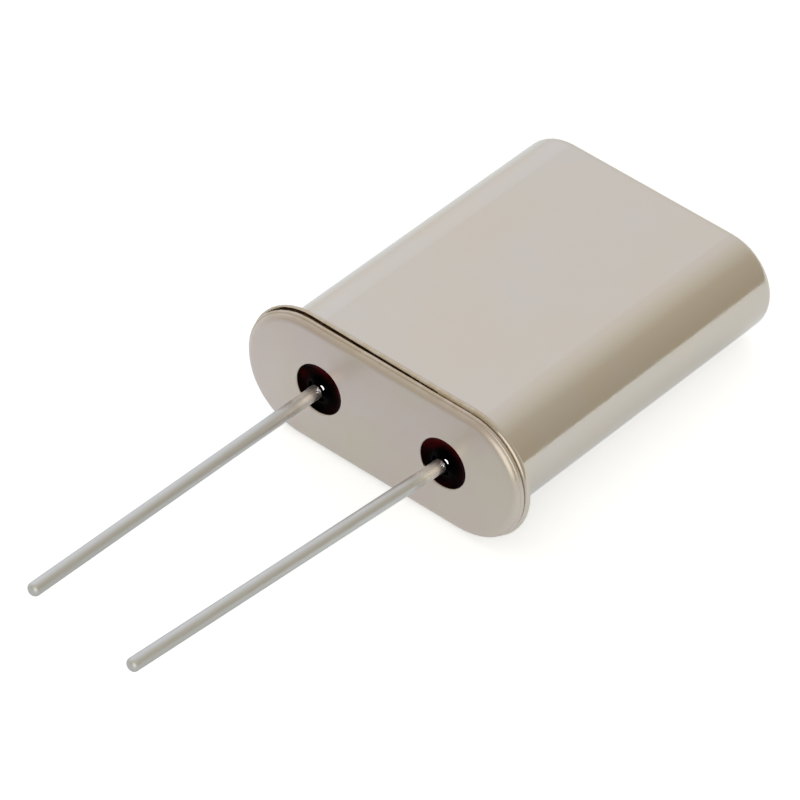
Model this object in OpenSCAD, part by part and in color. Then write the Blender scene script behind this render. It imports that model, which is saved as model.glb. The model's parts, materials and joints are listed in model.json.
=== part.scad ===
// Quartz crystal unit in a flanged metal can with two wire leads, lying on its flat side.
//
// Each piece is drawn upright: the base's seating face is on the XY plane, the can stands above
// it and the leads hang below it. lay_down() turns the finished piece onto its side, at the
// slope where the flange's rim and the can's far edge both touch the ground.
// The origin stays at the middle of the seating face, halfway between the leads.

/* [Can] */
// Width of the can across its rounded ends
can_w = 9.8; // [9.4:0.1:10.4]
// Thickness of the can across its flat sides
can_t = 3.5; // [3.2:0.1:4]
// Height of the can's closed end above the seating face
can_h = 13.15; // [12.4:0.05:14.4]
// Thickness of the drawn sheet
sheet_t = 0.22; // [0.15:0.01:0.28]
// Outer radius of the edge around the closed end
can_edge_r = 0.35; // [0.3:0.05:0.8]
// How far the flange stands out from the wall
flange_out = 0.56; // [0.45:0.01:0.7]
// Radius of the fillet between wall and flange
flange_fillet_r = 0.12; // [0.06:0.01:0.2]
// Radius on the edge of the flange
flange_edge_r = 0.1; // [0.05:0.01:0.14]

/* [Base] */
// Height of the weld seam above the seating face
seam_h = 0.32; // [0.32:0.01:0.6]
// Width of the slit that the weld leaves open in the seam, at the left end
seam_gap = 0.1; // [0.04:0.01:0.12]
// How far right of the middle the slit runs before the weld closes it
seam_gap_end = 1.8; // [-3:0.1:3]
// Width of the slit where it ends
seam_gap_tip = 0.02; // [0.01:0.01:0.04]
// How far the slit reaches in from the flange's edge
seam_depth = 0.24; // [0.15:0.01:0.3]
// How far the base's rim stays inside the flange's edge
rim_inset = 0.07; // [0:0.01:0.07]
// Radius on the edge of the base's rim
rim_edge_r = 0.07; // [0.03:0.01:0.08]
// How far the middle of the base is raised off its rim
platform_h = 0.15; // [0.1:0.01:0.15]
// How far the raised middle stays inside the flange's edge
platform_inset = 0.13; // [0.13:0.01:0.2]
// Radius of the shoulder around the raised middle
shoulder_r = 0.26; // [0.16:0.01:0.3]
// How far the base reaches into the can above the seam
plug_h = 0.5; // [0.3:0.05:0.8]
// Clearance between the base and the inside of the can
plug_gap = 0.03; // [0.02:0.01:0.06]
// Radius on the inner edge of the base
plug_edge_r = 0.17; // [0.05:0.01:0.25]

/* [Glass seals] */
// Diameter of the two glass seals
seal_d = 1.75; // [1.4:0.05:2]
// Radius on the rim of each seal's hole
seal_rim_r = 0.05; // [0.03:0.01:0.06]
// How far the glass creeps along the lead
glass_creep = 0.1; // [0.05:0.01:0.15]
// Radius of the hollow that the glass draws in around the lead
meniscus_r = 0.45; // [0.42:0.01:0.8]

/* [Leads] */
// Distance between the leads
lead_pitch = 4.88; // [4.7:0.02:5]
// Diameter of the leads
lead_d = 0.46; // [0.4:0.01:0.5]
// Length of the leads below the seating face
lead_l = 12.8; // [6:0.1:20]
// Radius on the end of each lead
lead_tip_r = 0.16; // [0.05:0.01:0.19]
// Radius of the bend where a lead leaves its seal
lead_bend_r = 3; // [2:0.5:5]
// Lean of the left lead, in degrees
left_lean_angle = 0.6; // [0.5:0.1:6]
// Direction that the left lead leans in, in degrees from +X towards +Y
left_heading_angle = 222; // [0:1:359]
// Lean of the right lead, in degrees
right_lean_angle = 5.8; // [0.5:0.1:6]
// Direction that the right lead leans in, in degrees from +X towards +Y
right_heading_angle = 157; // [0:1:359]
// Height of each lead's inner end above the seating face
lead_post_h = 2.1; // [1.9:0.1:2.4]
// Distance of the weld flat from the lead's axis
weld_flat = 0.13; // [0.1:0.01:0.17]

/* [Crystal] */
// Clearance between the rim of the quartz blank and the inside of the can
blank_gap = 0.68; // [0.55:0.01:0.9]
// Thickness of the quartz blank
blank_t = 0.17; // [0.08:0.01:0.25]
// Diameter of the round middle of each electrode
electrode_d = 4.6; // [3:0.1:5.5]
// Width of the tab that joins an electrode to its clip
tab_w = 0.9; // [0.5:0.1:1.4]
// Thickness of each electrode, drawn far thicker than the real film
film_t = 0.02; // [0.01:0.01:0.04]
// Bevel on the rim of the blank
blank_bevel = 0.03; // [0.01:0.01:0.03]

/* [Clips] */
// Width of the clip strip
clip_w = 1.1; // [0.8:0.1:1.3]
// Thickness of the clip strip
clip_t = 0.12; // [0.08:0.01:0.15]
// Inner radius of the strip's bends
clip_bend_r = 0.15; // [0.1:0.01:0.2]
// Slope at which the strip spreads out to the blank, in degrees from upright
clip_slope_angle = 50; // [40:1:65]
// Height of the strip's foot above the base
clip_foot_gap = 0.2; // [0.16:0.01:0.4]
// How far the blank's rim stands out through the strip
blank_overhang = 0.08; // [0.03:0.01:0.15]
// Clearance around the blank's rim in the strip's slot
slot_gap = 0.08; // [0.05:0.01:0.12]
// Length of the strip above its slot
clip_head_l = 0.6; // [0.3:0.1:1]
// Radius of the adhesive drops
adhesive_r = 0.45; // [0.35:0.01:0.5]

/* [Hidden] */
$fn = 64;

LEFT = -1;
RIGHT = 1;
// A cut runs this far past the face that it opens.
clear = 1;

// The ovals: two half rounds joined by straight sides
oval_straight = can_w - can_t;
can_r = can_t / 2;
can_inner_r = can_r - sheet_t;
flange_r = can_r + flange_out;
flange_top = seam_h + sheet_t;
flange_bead_r = min(flange_edge_r, 0.45 * sheet_t);
rim_r = flange_r - rim_inset;
flange_w = can_w + 2 * flange_out;
weld_r = flange_r - seam_depth;
platform_r = flange_r - platform_inset;
shoulder_w = sqrt(platform_h * (2 * shoulder_r - platform_h));
plug_r = can_inner_r - plug_gap;
plug_top = seam_h + plug_h;

// The slope that the part comes to rest at
rest_run = (can_h - can_edge_r) - (flange_top - flange_bead_r);
rest_drop = (flange_r - flange_bead_r) - (can_r - can_edge_r);
rest_reach = norm([rest_run, rest_drop]);
rest_tilt = atan2(rest_drop, rest_run) - asin((can_edge_r - flange_bead_r) / rest_reach);

// Seals and leads
seal_r = seal_d / 2;
lead_r = lead_d / 2;

// The blank stands halfway up the inside of the can
blank_r = can_w / 2 - sheet_t - blank_gap;
blank_z = (plug_top + can_h - sheet_t) / 2;
electrode_r = electrode_d / 2;

// Clips
clip_foot_z = plug_top + clip_foot_gap;
clip_foot_l = lead_post_h - clip_foot_z;
clip_start_x = lead_pitch / 2 + weld_flat;
clip_end_x = blank_r - blank_overhang - clip_t;
clip_bends = 2 * clip_bend_r + clip_t;
clip_spread = clip_end_x - clip_start_x - clip_bends * (1 - cos(clip_slope_angle));
clip_slope_l = clip_spread / sin(clip_slope_angle);
clip_upright_z = lead_post_h + clip_bends * sin(clip_slope_angle) + clip_slope_l * cos(clip_slope_angle);
slot_w = blank_t + 2 * (film_t + slot_gap);
slot_reach = sqrt(pow(blank_r, 2) - pow(clip_end_x, 2)) + slot_gap;
clip_top = blank_z + slot_reach + clip_head_l;

// Colours
nickel = [0.78, 0.75, 0.71];
tinned = [0.72, 0.72, 0.69];
dark_glass = [0.10, 0.01, 0.01];
spring_metal = [0.76, 0.72, 0.62];
quartz = [0.86, 0.90, 0.92];
silver = [0.90, 0.90, 0.91];
silver_paste = [0.62, 0.62, 0.62];

// ---- Shared shapes ----

module lay_down() {
    rotate([-90 - rest_tilt, 0, 0]) children();
}

// What a rounded corner loses. The corner points along [x_dir, z_dir] from the round's centre,
// and the waste runs one radius past both of its faces.
module corner_waste(x, z, radius, x_dir, z_dir) {
    translate([x, z])
        difference() {
            corner_square(2 * radius, x_dir, z_dir);
            circle(radius);
        }
}

// A square with one corner at the origin, reaching out along [x_dir, z_dir]
module corner_square(side, x_dir, z_dir) {
    translate([min(0, x_dir * side), min(0, z_dir * side)]) square(side);
}

// A half section from the axis out to radius r, with rounded outer corners
module half_slab(r, bottom, top, bottom_r = 0, top_r = 0) {
    difference() {
        translate([0, bottom]) square([r, top - bottom]);
        if (bottom_r > 0) corner_waste(r - bottom_r, bottom + bottom_r, bottom_r, 1, -1);
        if (top_r > 0) corner_waste(r - top_r, top - top_r, top_r, 1, 1);
    }
}

// Sweeps a half section around the oval: it is turned at each end and pulled along the sides
module oval_sweep() {
    for (side = [LEFT, RIGHT])
        translate([side * oval_straight / 2, 0, 0])
            rotate([0, 0, -90 * side])
                rotate_extrude(angle = 180) children();
    rotate([90, 0, 90])
        linear_extrude(height = oval_straight, center = true) {
            children();
            mirror([1, 0]) children();
        }
}

// ---- Can and base ----

module can_section() {
    bend_x = can_r + flange_fillet_r;
    bend_z = flange_top + flange_fillet_r;
    difference() {
        union() {
            half_slab(can_r, seam_h, can_h, 0, can_edge_r);
            half_slab(flange_r, seam_h, flange_top, flange_bead_r, flange_bead_r);
            corner_waste(bend_x, bend_z, flange_fillet_r, -1, -1);
        }
        half_slab(can_inner_r, seam_h - clear, can_h - sheet_t, 0, can_edge_r - sheet_t);
        corner_waste(bend_x, bend_z, flange_fillet_r + sheet_t, -1, -1);
    }
}

// The slit beside the weld, which is cut half from the flange and half from the base's rim. It
// narrows from the left end and stops right of the middle, where the weld has closed the seam.
module seam_slit() {
    taper = (seam_gap - seam_gap_tip) / (flange_w / 2 + seam_gap_end);
    left = (seam_gap + clear * taper) / 2;
    tip = seam_gap_tip / 2;
    start = -flange_w / 2 - clear;
    difference() {
        rotate([90, 0, 0])
            linear_extrude(height = 2 * (flange_r + clear), center = true)
                polygon([
                    [start, seam_h - left], [seam_gap_end, seam_h - tip],
                    [seam_gap_end, seam_h + tip], [start, seam_h + left]
                ]);
        oval_sweep() half_slab(weld_r, 0, flange_top);
    }
}

module can() {
    color(nickel)
        difference() {
            oval_sweep() can_section();
            seam_slit();
        }
}

// The raised middle and the plug both start inside the rim, so that the base is one piece.
module base_section() {
    half_slab(platform_r - shoulder_w + shoulder_r, 0, platform_h + rim_edge_r, shoulder_r, 0);
    half_slab(rim_r, platform_h, seam_h, rim_edge_r, rim_edge_r);
    half_slab(plug_r, platform_h, plug_top, 0, plug_edge_r);
}

module seal_bore() {
    rotate_extrude() {
        translate([0, -clear]) square([seal_r, plug_top + 2 * clear]);
        corner_waste(seal_r + seal_rim_r, seal_rim_r, seal_rim_r, -1, -1);
    }
}

module base() {
    color(nickel)
        difference() {
            oval_sweep() base_section();
            seam_slit();
            for (side = [LEFT, RIGHT])
                translate([side * lead_pitch / 2, 0, 0]) seal_bore();
        }
}

// ---- Seals and leads ----

// The circle that hollows the glass between the lead and the rim of the hole
module meniscus() {
    chord = [seal_r - lead_r, glass_creep + seal_rim_r];
    middle = [lead_r + chord[0] / 2, chord[1] / 2 - glass_creep];
    back = sqrt(pow(meniscus_r, 2) - pow(norm(chord) / 2, 2)) / norm(chord);
    translate([middle[0] + chord[1] * back, middle[1] - chord[0] * back]) circle(meniscus_r);
}

module glass_seal(side) {
    color(dark_glass)
        translate([side * lead_pitch / 2, 0, 0])
            rotate_extrude()
                difference() {
                    translate([lead_r, -glass_creep])
                        square([seal_r - lead_r, plug_top + 2 * glass_creep]);
                    meniscus();
                    translate([0, plug_top]) mirror([0, 1]) meniscus();
                }
}

// A wire that comes straight out of its seal, bends there and runs on at a slope
module lead(side, lean_angle, heading_angle) {
    bend_x = lead_bend_r * (1 - cos(lean_angle));
    bend_z = lead_bend_r * sin(lean_angle);
    outer_l = lead_l - glass_creep - lead_bend_r * lean_angle * PI / 180;
    color(tinned)
        translate([side * lead_pitch / 2, 0, 0]) {
            difference() {
                translate([0, 0, -glass_creep]) cylinder(r = lead_r, h = glass_creep + lead_post_h);
                lead_flat(side);
            }
            translate([0, 0, -glass_creep])
                rotate([0, 0, heading_angle]) {
                    translate([lead_bend_r, 0, 0])
                        rotate([-90, 0, 180])
                            rotate_extrude(angle = lean_angle)
                                translate([lead_bend_r, 0]) circle(lead_r);
                    translate([bend_x, 0, -bend_z])
                        rotate([0, -lean_angle, 0])
                            rotate_extrude() half_slab(lead_r, -outer_l, 0, lead_tip_r, 0);
                }
        }
}

// What is pressed away beside the clip's foot, so that the foot lies flat
module lead_flat(side) {
    flat_x = side > 0 ? weld_flat : -weld_flat - clear;
    translate([flat_x, -clear / 2, clip_foot_z]) cube([clear, clear, lead_post_h]);
}

// ---- Clips ----

// The edge of a formed strip that starts along +X. Each step is a straight length and the turn
// after it.
module strip(steps, i = 0) {
    if (i < len(steps)) {
        square([steps[i][0], clip_t]);
        translate([steps[i][0], 0]) strip_bend(steps[i][1]) strip(steps, i + 1);
    }
}

// One bend, followed by whatever comes after it
module strip_bend(turn) {
    axis_y = turn > 0 ? clip_t + clip_bend_r : -clip_bend_r;
    start = turn > 0 ? -90 : 90 + turn;
    translate([0, axis_y]) {
        if (turn != 0) ring_sector(clip_bend_r, clip_bend_r + clip_t, start, abs(turn));
        rotate(turn) translate([0, -axis_y]) children();
    }
}

// A piece of a flat ring, of less than half a turn
module ring_sector(inner_r, outer_r, start, turn) {
    reach = 2 * outer_r / cos(turn / 2);
    rotate(start)
        intersection() {
            difference() {
                circle(outer_r);
                circle(inner_r);
            }
            polygon([[0, 0], [reach, 0], reach * [cos(turn), sin(turn)]]);
        }
}

module clip(side) {
    color(spring_metal)
        mirror([side < 0 ? 1 : 0, 0, 0])
            difference() {
                translate([clip_start_x, -clip_w / 2, clip_foot_z])
                    rotate([-90, -90, 0])
                        linear_extrude(height = clip_w)
                            strip([
                                [clip_foot_l, clip_slope_angle],
                                [clip_slope_l, -clip_slope_angle],
                                [clip_top - clip_upright_z, 0]
                            ]);
                translate([clip_end_x - clear / 2, -slot_w / 2, blank_z - slot_reach])
                    cube([clear, slot_w, 2 * slot_reach]);
            }
}

// ---- Crystal ----

module quartz_blank() {
    half_t = blank_t / 2;
    color(quartz)
        translate([0, 0, blank_z])
            rotate([90, 0, 0])
                rotate_extrude()
                    polygon([
                        [0, -half_t],
                        [blank_r - blank_bevel, -half_t],
                        [blank_r, blank_bevel - half_t],
                        [blank_r, half_t - blank_bevel],
                        [blank_r - blank_bevel, half_t],
                        [0, half_t]
                    ]);
}

// A round film with a tab that runs out to the blank's rim on one side
module electrode(side) {
    color(silver)
        translate([0, side > 0 ? blank_t / 2 + film_t : -blank_t / 2, blank_z])
            rotate([90, 0, 0])
                linear_extrude(height = film_t) {
                    circle(electrode_r);
                    intersection() {
                        circle(blank_r - blank_bevel);
                        translate([side > 0 ? 0 : -blank_r, -tab_w / 2]) square([blank_r, tab_w]);
                    }
                }
}

// A drop that fills the slot and holds the blank's rim, its film and the clip together
module adhesive(side) {
    color(silver_paste)
        difference() {
            translate([side * (clip_end_x + clip_t), 0, blank_z]) sphere(adhesive_r);
            clip(side);
            quartz_blank();
            electrode(LEFT);
            electrode(RIGHT);
        }
}

lay_down() can();
lay_down() base();
lay_down() glass_seal(LEFT);  // glass_seal_left
lay_down() glass_seal(RIGHT);  // glass_seal_right
lay_down() lead(LEFT, left_lean_angle, left_heading_angle);  // lead_left
lay_down() lead(RIGHT, right_lean_angle, right_heading_angle);  // lead_right
lay_down() clip(LEFT);  // clip_left
lay_down() clip(RIGHT);  // clip_right
lay_down() quartz_blank();
lay_down() electrode(LEFT);  // electrode_front
lay_down() electrode(RIGHT);  // electrode_back
lay_down() adhesive(LEFT);  // adhesive_left
lay_down() adhesive(RIGHT);  // adhesive_right
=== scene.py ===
"""Looks of a metal-can crystal unit: materials, floor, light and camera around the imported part."""

import json
import math

import bpy
from mathutils import Matrix, Vector


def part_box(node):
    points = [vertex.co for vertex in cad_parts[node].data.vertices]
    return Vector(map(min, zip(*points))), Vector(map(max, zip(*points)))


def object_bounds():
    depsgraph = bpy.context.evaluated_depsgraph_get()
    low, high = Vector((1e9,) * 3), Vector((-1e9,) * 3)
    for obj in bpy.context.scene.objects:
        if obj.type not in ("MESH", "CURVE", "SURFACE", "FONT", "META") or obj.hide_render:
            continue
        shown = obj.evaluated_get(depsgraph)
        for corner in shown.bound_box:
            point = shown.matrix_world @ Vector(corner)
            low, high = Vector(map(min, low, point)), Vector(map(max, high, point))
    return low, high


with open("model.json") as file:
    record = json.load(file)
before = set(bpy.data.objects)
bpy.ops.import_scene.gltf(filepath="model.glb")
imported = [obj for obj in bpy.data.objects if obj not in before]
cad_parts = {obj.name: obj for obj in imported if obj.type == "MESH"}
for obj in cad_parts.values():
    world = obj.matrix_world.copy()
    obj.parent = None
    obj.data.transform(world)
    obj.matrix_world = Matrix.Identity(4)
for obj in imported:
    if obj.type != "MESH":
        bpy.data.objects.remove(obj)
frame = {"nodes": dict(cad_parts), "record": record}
cad_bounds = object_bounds()

MM = 0.001                                  # metres in one millimetre

# The part lies on its flat side, tilted by the flange that it leans on. The seating face's mount
# points out of the base, along the leads.
mounts = {mount["name"]: mount for mount in frame["record"]["mounts"]}
seat_axis = Vector(mounts["seating_face"]["axis"])
rest_tilt = math.asin(seat_axis.z)
floor_height = cad_bounds[0].z

# The camera that the photograph was taken with, in the part's own upright frame.
camera_azimuth = math.radians(36.89)
camera_elevation = math.radians(40.48)
camera_roll = math.radians(4.71)
camera_distance = 207.03 * MM
camera_aim = Vector((0.6058, 0.8055, 0)) * MM  # along the picture's own right and up
camera_reach = 10 * MM                      # nothing nearer to the camera than this is drawn
picture_pixels = 800                        # the photograph's width
focal_pixels = 6884                         # the focal length, in the photograph's pixels
sensor_width = 36                           # in millimetres, as Blender counts it

# The studio, as the photographer sees it: a broad window behind the part, a little to the left,
# that fades into a dim warm room, and a softbox low behind the camera. The seals have far less
# gloss than real glass, so that they stay as black as in the photograph. A second, very bright
# lamp, which only they receive, gives them their highlight.
window_azimuth = math.radians(-60)
window_elevation = math.radians(30)
window_fade = (                             # degrees from the window's middle, and the colour there
    (14, (0.95, 0.98, 1.05)),
    (36, (0.86, 0.85, 0.84)),
    (54, (0.75, 0.735, 0.675)),
    (72, (0.61, 0.57, 0.485)),
    (104, (0.515, 0.48, 0.395)),
)
softbox_azimuth = math.radians(143)
softbox_elevation = math.radians(20)
softbox_size = (250 * MM, 330 * MM)
softbox_radiance = 0.85
glint_azimuth = math.radians(146)
glint_elevation = math.radians(32)
glint_size = (250 * MM, 45 * MM)
glint_lean = math.radians(-52)
glint_radiance = 2500
lamp_distance = 250 * MM
floor_radius = 55 * MM
floor_sides = 128
floor_colour = (0.88, 0.92, 0.97)           # faintly cool, because the room lights it warmly
floor_lift = 0.5                            # what the floor shows the camera beyond its lit colour
floor_gloss_lift = (0.43, 0.48, 0.54)       # the share of that glow which the metal mirrors, a painted reflection of a brighter floor
floor_gloss_reach = (0.5, -9)               # where along Y that share begins and ends its fade, in mm; the fade paints shade on the floor in front of the part

# Colours, as linear reflectance.
WHITE = (1, 1, 1)
BLACK = (0, 0, 0)
NICKEL = (0.62, 0.57, 0.51)
NICKEL_WARM = (0.63, 0.565, 0.485)
NICKEL_ROSY = (0.635, 0.55, 0.52)
NICKEL_SCORCH_AND_SHADE = (0.53, 0.44, 0.33)
TIN = (0.60, 0.60, 0.59)
TIN_STREAK = (0.67, 0.67, 0.66)
TIN_HIGHLIGHT_PAINT = (0.93, 0.93, 0.92)
GLASS_DEEP = (0.0004, 0.0002, 0.0002)
GLASS_RUBY = (0.07, 0.0006, 0.0018)
STRIP = (0.55, 0.53, 0.50)
STRIP_WARM = (0.64, 0.61, 0.56)
QUARTZ_HAZY = (0.86, 0.89, 0.89)
QUARTZ_CLEAR = (0.95, 0.96, 0.95)
SILVER = (0.86, 0.83, 0.78)
SILVER_HAZY = (0.80, 0.76, 0.69)
EPOXY = (0.30, 0.30, 0.29)
EPOXY_FLAKES = (0.56, 0.55, 0.53)

# The denoiser treats metal above and below a roughness of about 0.27 differently, and a finish
# that crosses that looks pitted. So the can stays wholly below it and the base wholly above it.
can_roughness = 0.13
base_roughness = 0.32
can_grain = 0.0015                          # depth of the fine grain, in millimetres
base_grain = 0.0006
glass_ior = 1.52
glass_gloss = 0.007                         # the specular level, which real glass has at about 0.5
quartz_ior = 1.544
noise_middle = (0.3, 0.7)                   # most of a noise's values lie between these

# Places on the part that a finish follows, in millimetres. The leads run toward -Y.
seal_low, seal_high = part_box("glass_seal_right")
seal_middle = (seal_low.x + seal_high.x) / 2 / MM
seal_radius = (seal_high.x - seal_low.x) / 2 / MM
highlight_end = -1                               # the painted highlight at a lead's root ends here along Y
highlight_fade = 0.3
dip_start = -1.75                           # the solder dip begins here along Y
dip_fade = 0.2
edge_ragged = 0.25                          # both edges wander by up to this
seam_height = 0.32                          # from the seating face, along the can's height
scorch_and_shade_core = 0.08                          # the scorch tint and painted shade are full this near the seam
scorch_and_shade_edge = 0.3                           # and not at all beyond this
scorch_and_shade_right = 3.8                          # the scorched and shaded stretch of the seam ends here along X
scorch_and_shade_fade = 0.5


class Graph:
    """A tree of shader nodes, with short ways to add the nodes that this scene uses."""

    def __init__(self, tree):
        self.tree = tree

    def node(self, kind, **settings):
        made = self.tree.nodes.new(kind)
        for key, value in settings.items():
            setattr(made, key, value)
        return made

    def feed(self, socket, value):
        """Links a socket to another node's output, or sets it to a plain number or colour."""
        if isinstance(value, bpy.types.NodeSocket):
            self.tree.links.new(value, socket)
        elif socket.type == "RGBA":
            socket.default_value = (*value, 1)
        else:
            socket.default_value = value

    def maths(self, operation, first, second=0.0):
        made = self.node("ShaderNodeMath", operation=operation)
        self.feed(made.inputs[0], first)
        self.feed(made.inputs[1], second)
        return made.outputs[0]

    def vector(self, operation, first, second):
        made = self.node("ShaderNodeVectorMath", operation=operation)
        self.feed(made.inputs[0], first)
        self.feed(made.inputs[1], second)
        return made.outputs["Value" if operation == "DOT_PRODUCT" else "Vector"]

    def between(self, factor, low, high, start=0.0, end=1.0):
        """A number that goes smoothly from low to high as the factor goes from start to end."""
        made = self.node("ShaderNodeMapRange", interpolation_type="SMOOTHSTEP")
        for key, value in (("Value", factor), ("From Min", start), ("From Max", end),
                           ("To Min", low), ("To Max", high)):
            self.feed(made.inputs[key], value)
        return made.outputs["Result"]

    def blend(self, factor, first, second):
        """A colour that goes from the first to the second as the factor goes from 0 to 1."""
        made = self.node("ShaderNodeMix", data_type="RGBA")
        # Inputs 6 and 7 and output 2 are the node's colours, which share their names with others.
        self.feed(made.inputs["Factor"], factor)
        self.feed(made.inputs[6], first)
        self.feed(made.inputs[7], second)
        return made.outputs[2]


class Finish(Graph):
    """One material, whose nodes work in millimetres on the part."""

    def __init__(self, name, **values):
        self.material = bpy.data.materials.new(name)
        self.material.use_nodes = True
        super().__init__(self.material.node_tree)
        self.shader = self.tree.nodes["Principled BSDF"]
        self.place = self.vector("MULTIPLY", self.node("ShaderNodeTexCoord").outputs["Object"],
                                 (1 / MM, 1 / MM, 1 / MM))
        for key, value in values.items():
            self.feed(self.shader.inputs[key.replace("_", " ")], value)

    def axes(self):
        """The place's X, Y and Z, each as a number of its own."""
        made = self.node("ShaderNodeSeparateXYZ")
        self.feed(made.inputs[0], self.place)
        return made.outputs

    def noise(self, per_mm, detail=2, rough=0.5):
        """Smooth noise from 0 to 1. Its waves in a millimetre are one number, or one for each axis."""
        scale = (per_mm,) * 3 if isinstance(per_mm, (int, float)) else per_mm
        made = self.node("ShaderNodeTexNoise")
        self.feed(made.inputs["Vector"], self.vector("MULTIPLY", self.place, scale))
        self.feed(made.inputs["Scale"], 1.0)
        self.feed(made.inputs["Detail"], detail)
        self.feed(made.inputs["Roughness"], rough)
        return made.outputs["Fac"]

    def colour(self, value):
        self.feed(self.shader.inputs["Base Color"], value)

    def roughness(self, value):
        self.feed(self.shader.inputs["Roughness"], value)

    def bump(self, height, depth):
        """Raises the surface by a height from 0 to 1, times a depth in millimetres."""
        made = self.node("ShaderNodeBump")
        normal = self.shader.inputs["Normal"]
        if normal.is_linked:
            self.feed(made.inputs["Normal"], normal.links[0].from_socket)
        self.feed(made.inputs["Distance"], depth * MM)
        self.feed(made.inputs["Height"], height)
        self.feed(normal, made.outputs["Normal"])


def nickel(name, tint, shade, rough, grain):
    """Nickel plating on formed sheet: faintly mottled, grained, and darkened along the weld by a scorch
    tint that is also painted shade in the seam's crease.
    """
    finish = Finish(name, Metallic=1.0)
    weld = near_weld(finish)
    patchy = finish.between(finish.noise(per_mm=2.2, detail=3), 0.5, 1, start=0.35, end=0.6)
    patches = finish.noise(per_mm=0.35, detail=3)
    plating = finish.blend(finish.between(patches, 0, 1, *noise_middle), tint, shade)
    # Along the weld the plating darkens to a scorch tint, which is also painted shade in the seam's
    # crease.
    finish.colour(finish.blend(finish.maths("MULTIPLY", weld, patchy), plating, NICKEL_SCORCH_AND_SHADE))
    cloud = finish.noise(per_mm=1.6, detail=4, rough=0.6)
    finish.roughness(finish.between(cloud, rough - 0.03, rough + 0.04, *noise_middle))
    drawn_lines = finish.noise(per_mm=(9, 1.2, 9), detail=3)
    finish.bump(drawn_lines, depth=0.0005)
    finish.bump(finish.noise(per_mm=7), depth=grain)
    finish.bump(finish.noise(per_mm=1.5, detail=3, rough=0.6), depth=0.003)
    weld_ripple = finish.maths("MULTIPLY", weld, finish.noise(per_mm=3.5, detail=3))
    finish.bump(weld_ripple, depth=0.03)
    return finish.material


def near_weld(finish):
    """How near a place is to the weld: 1 on the seam, and 0 away from it, beyond the scorch tint and
    painted shade.
    """
    height = finish.vector("DOT_PRODUCT", finish.place, -seat_axis)
    away = finish.maths("ABSOLUTE", finish.maths("SUBTRACT", height, seam_height))
    near = finish.between(away, 1, 0, start=scorch_and_shade_core, end=scorch_and_shade_edge)
    along = finish.between(finish.axes()["X"], 1, 0,
                           start=scorch_and_shade_right - scorch_and_shade_fade, end=scorch_and_shade_right + scorch_and_shade_fade)
    return finish.maths("MULTIPLY", near, along)


def seal_glass():
    """Dark glass, nearly black where it is deep; the ruby at the upper rim is painted light, standing for
    light that gets in there.
    """
    finish = Finish("seal_glass_finish", IOR=glass_ior, Specular_IOR_Level=glass_gloss)
    place = finish.axes()
    across = finish.maths("SUBTRACT", finish.maths("ABSOLUTE", place["X"]), seal_middle)
    squares = [finish.maths("POWER", leg, 2.0) for leg in (across, place["Z"])]
    radius = finish.maths("SQRT", finish.maths("ADD", *squares))
    thin = finish.between(radius, 0, 1, start=0.45 * seal_radius, end=seal_radius)
    # The ruby is painted light: it is strongest at the upper part of the thin rim, where light gets into
    # the glass.
    upper = finish.between(place["Z"], 0.12, 1, start=-0.3 * seal_radius, end=0.5 * seal_radius)
    streaks = finish.between(finish.noise(per_mm=1.6, detail=3), 0, 1, start=0.35, end=0.7)
    ruby = finish.maths("MULTIPLY", finish.maths("MULTIPLY", thin, upper), streaks)
    finish.colour(finish.blend(ruby, GLASS_DEEP, GLASS_RUBY))
    finish.roughness(finish.between(finish.noise(per_mm=3), 0.03, 0.07))
    finish.bump(finish.noise(per_mm=1.4), depth=0.003)
    return finish.material


def tinned_lead():
    """A tinned wire: glossier drawn metal near the glass, with a painted highlight lightening its root,
    and duller where it was dipped in solder.
    """
    finish = Finish("tinned_lead_finish", Metallic=1.0)
    ragged = finish.between(finish.noise(per_mm=2.5), -edge_ragged, edge_ragged)
    reach = finish.maths("ADD", finish.axes()["Y"], ragged)
    dipped = finish.between(reach, 1, 0, start=dip_start - dip_fade, end=dip_start + dip_fade)
    streaks = finish.noise(per_mm=(14, 1.1, 14), detail=4, rough=0.6)
    root_highlight = finish.between(reach, 0, 1, start=highlight_end - highlight_fade, end=highlight_end + highlight_fade)
    # Near the glass the tin's colour is painted far lighter: a painted highlight at the lead's root.
    finish.colour(finish.blend(root_highlight, finish.blend(streaks, TIN, TIN_STREAK), TIN_HIGHLIGHT_PAINT))
    dull = finish.between(streaks, 0.36, 0.5, *noise_middle)
    bright = finish.between(streaks, 0.25, 0.4, *noise_middle)
    finish.roughness(finish.between(dipped, bright, dull))
    finish.bump(streaks, depth=0.003)
    finish.bump(finish.noise(per_mm=1.3, detail=3), depth=0.012)
    return finish.material


def spring_clip():
    """Thin nickel-silver strip, with the fine lines that rolling leaves."""
    finish = Finish("spring_clip_finish", Metallic=1.0)
    lines = finish.noise(per_mm=(30, 30, 1.5), detail=3)
    finish.colour(finish.blend(lines, STRIP, STRIP_WARM))
    finish.roughness(finish.between(lines, 0.2, 0.38))
    finish.bump(lines, depth=0.001)
    return finish.material


def quartz():
    """A lapped quartz blank: clear material with a fine frosted surface."""
    finish = Finish("quartz_finish", IOR=quartz_ior, Transmission_Weight=1.0)
    cloud = finish.noise(per_mm=1.2, detail=3)
    finish.colour(finish.blend(cloud, QUARTZ_HAZY, QUARTZ_CLEAR))
    finish.roughness(finish.between(finish.noise(per_mm=14), 0.22, 0.4))
    finish.bump(finish.noise(per_mm=22), depth=0.001)
    return finish.material


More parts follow.
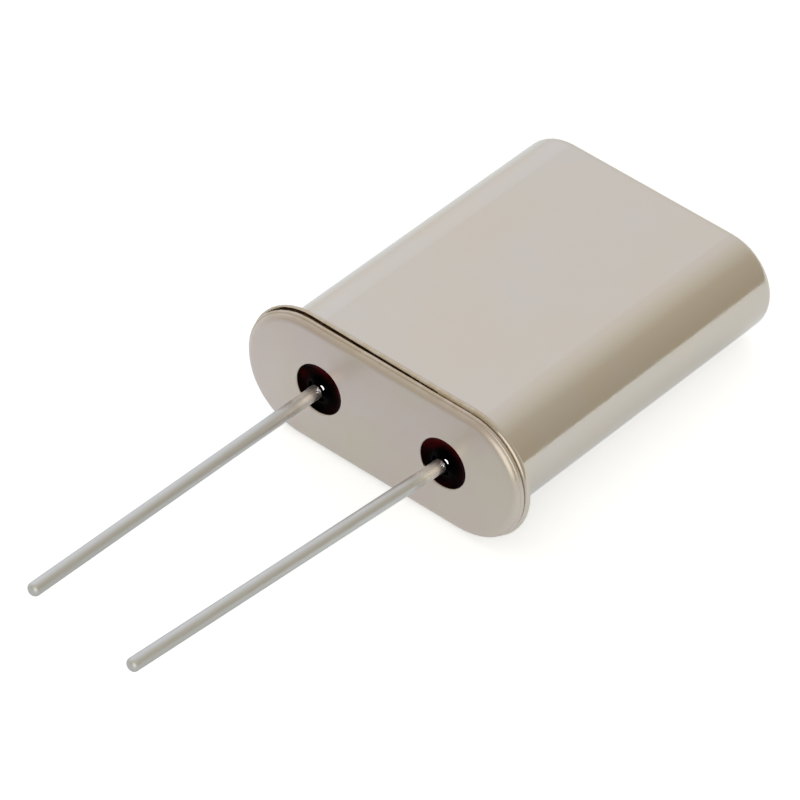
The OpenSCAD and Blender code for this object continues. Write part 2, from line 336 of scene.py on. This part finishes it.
def silver_film():
    """An evaporated silver electrode, satin from the lapped quartz beneath it."""
    finish = Finish("silver_film_finish", Metallic=1.0)
    haze = finish.noise(per_mm=0.8, detail=3)
    finish.colour(finish.blend(haze, SILVER, SILVER_HAZY))
    finish.roughness(finish.between(finish.noise(per_mm=14), 0.18, 0.32))
    finish.bump(finish.noise(per_mm=22), depth=0.0008)
    return finish.material


def silver_adhesive():
    """Cured silver-filled epoxy: grey and matt, with the glint of its flakes."""
    finish = Finish("silver_adhesive_finish")
    flakes = finish.noise(per_mm=16, rough=0.7)
    shown = finish.between(flakes, 0, 1, start=0.35, end=0.65)
    finish.colour(finish.blend(shown, EPOXY, EPOXY_FLAKES))
    silvery = finish.between(flakes, 0.1, 0.7, start=0.4, end=0.7)
    finish.feed(finish.shader.inputs["Metallic"], silvery)
    finish.roughness(finish.between(flakes, 0.62, 0.4))
    finish.bump(flakes, depth=0.006)
    return finish.material


def dress_nodes():
    """Gives every CAD node the finish that its material slot names."""
    finishes = {
        "nickel_can": nickel("nickel_can_finish", NICKEL, NICKEL_WARM, can_roughness, can_grain),
        "nickel_base": nickel("nickel_base_finish", NICKEL_ROSY, NICKEL_WARM, base_roughness, base_grain),
        "seal_glass": seal_glass(),
        "tinned_lead": tinned_lead(),
        "spring_clip": spring_clip(),
        "quartz": quartz(),
        "silver_film": silver_film(),
        "silver_adhesive": silver_adhesive(),
    }
    for node in frame["nodes"].values():
        for slot in node.material_slots:
            # Blender adds an ending such as .001 to a name that is taken.
            slot.material = finishes[slot.material.name.split(".")[0]]


def direction(azimuth, elevation):
    """A unit vector: azimuth turns from straight behind the part to its right, elevation goes up."""
    return Vector((math.sin(azimuth) * math.cos(elevation),
                   math.cos(azimuth) * math.cos(elevation),
                   math.sin(elevation)))


def make_floor():
    """A pale floor under the part, which shows white and keeps the part's shadow."""
    bpy.ops.mesh.primitive_circle_add(vertices=floor_sides, radius=floor_radius, fill_type="NGON",
                                      location=(0, 0, floor_height))
    floor = bpy.context.object
    floor.name = "floor"
    finish = Finish("floor_finish", Base_Color=floor_colour, Roughness=0.9, Specular_IOR_Level=0.0)
    path = finish.node("ShaderNodeLightPath").outputs
    mirrored = finish.maths("ADD", path["Is Glossy Ray"], path["Is Transmission Ray"])
    shown = finish.maths("ADD", path["Is Camera Ray"], mirrored)
    finish.feed(finish.shader.inputs["Emission Strength"], finish.maths("MULTIPLY", shown, floor_lift))
    front = finish.between(finish.axes()["Y"], 0, 1, *floor_gloss_reach)
    # The camera sees the whole lift, and what is mirrored has only its share of it, fading to none in
    # front as painted shade.
    lift = finish.blend(front, floor_gloss_lift, BLACK)
    finish.feed(finish.shader.inputs["Emission Color"], finish.blend(mirrored, WHITE, lift))
    floor.data.materials.append(finish.material)


def make_lamp(name, heading, size, radiance):
    """Hangs an oval lamp in a direction from the part, with a width and height and a brightness."""
    width, height = size
    area = math.pi * width * height / 4
    light = bpy.data.lights.new(name, "AREA")
    light.shape = "ELLIPSE"
    light.size = width
    light.size_y = height
    light.energy = radiance * math.pi * area
    lamp = bpy.data.objects.new(name, light)
    lamp.location = lamp_distance * heading
    lamp.rotation_euler = heading.to_track_quat("Z", "Y").to_euler()
    bpy.context.scene.collection.objects.link(lamp)
    return lamp


def light_studio():
    """Lights the part with the window's fade over the whole world, and with the two lamps."""
    world = bpy.data.worlds.new("studio")
    world.use_nodes = True
    bpy.context.scene.world = world
    graph = Graph(world.node_tree)
    toward = graph.node("ShaderNodeTexCoord").outputs["Generated"]
    facing = graph.vector("DOT_PRODUCT", toward, direction(window_azimuth, window_elevation))
    angle = graph.maths("DIVIDE", graph.maths("ARCCOSINE", facing), math.pi)
    ramp = graph.node("ShaderNodeValToRGB")
    graph.feed(ramp.inputs[0], angle)
    while len(ramp.color_ramp.elements) < len(window_fade):
        ramp.color_ramp.elements.new(0.5)
    for stop, (degrees, colour) in zip(ramp.color_ramp.elements, window_fade):
        stop.position = degrees / 180
        stop.color = (*colour, 1)
    # The camera itself sees plain white around the floor.
    camera_ray = graph.node("ShaderNodeLightPath").outputs["Is Camera Ray"]
    seen = graph.blend(camera_ray, ramp.outputs["Color"], WHITE)
    graph.feed(world.node_tree.nodes["Background"].inputs["Color"], seen)

    make_lamp("softbox", direction(softbox_azimuth, softbox_elevation), softbox_size, softbox_radiance)
    glint = make_lamp("glint", direction(glint_azimuth, glint_elevation), glint_size, glint_radiance)
    glint.rotation_euler.rotate_axis("Z", glint_lean)
    glint.visible_diffuse = False
    seals = bpy.data.collections.new("seals")
    for name in ("glass_seal_left", "glass_seal_right"):
        seals.objects.link(frame["nodes"][name])
    glint.light_linking.receiver_collection = seals


def make_camera():
    """Stands the camera where the photograph was taken from."""
    back = direction(math.pi - camera_azimuth, camera_elevation)
    level = Vector((math.cos(camera_azimuth), math.sin(camera_azimuth), 0))
    upright = back.cross(level)
    right = math.cos(camera_roll) * level + math.sin(camera_roll) * upright
    up = math.cos(camera_roll) * upright - math.sin(camera_roll) * level
    place = camera_aim.x * right + camera_aim.y * up + camera_distance * back
    turn = Matrix((right, up, back)).transposed().to_4x4()
    lay_down = Matrix.Rotation(-rest_tilt, 4, "X")
    data = bpy.data.cameras.new("camera")
    data.sensor_width = sensor_width
    data.lens = focal_pixels / picture_pixels * sensor_width
    data.clip_start = camera_reach
    camera = bpy.data.objects.new("camera", data)
    camera.matrix_world = lay_down @ Matrix.Translation(place) @ turn
    bpy.context.scene.collection.objects.link(camera)
    bpy.context.scene.camera = camera


make_camera()
light_studio()
make_floor()
dress_nodes()
bpy.context.scene.view_settings.view_transform = "Standard"
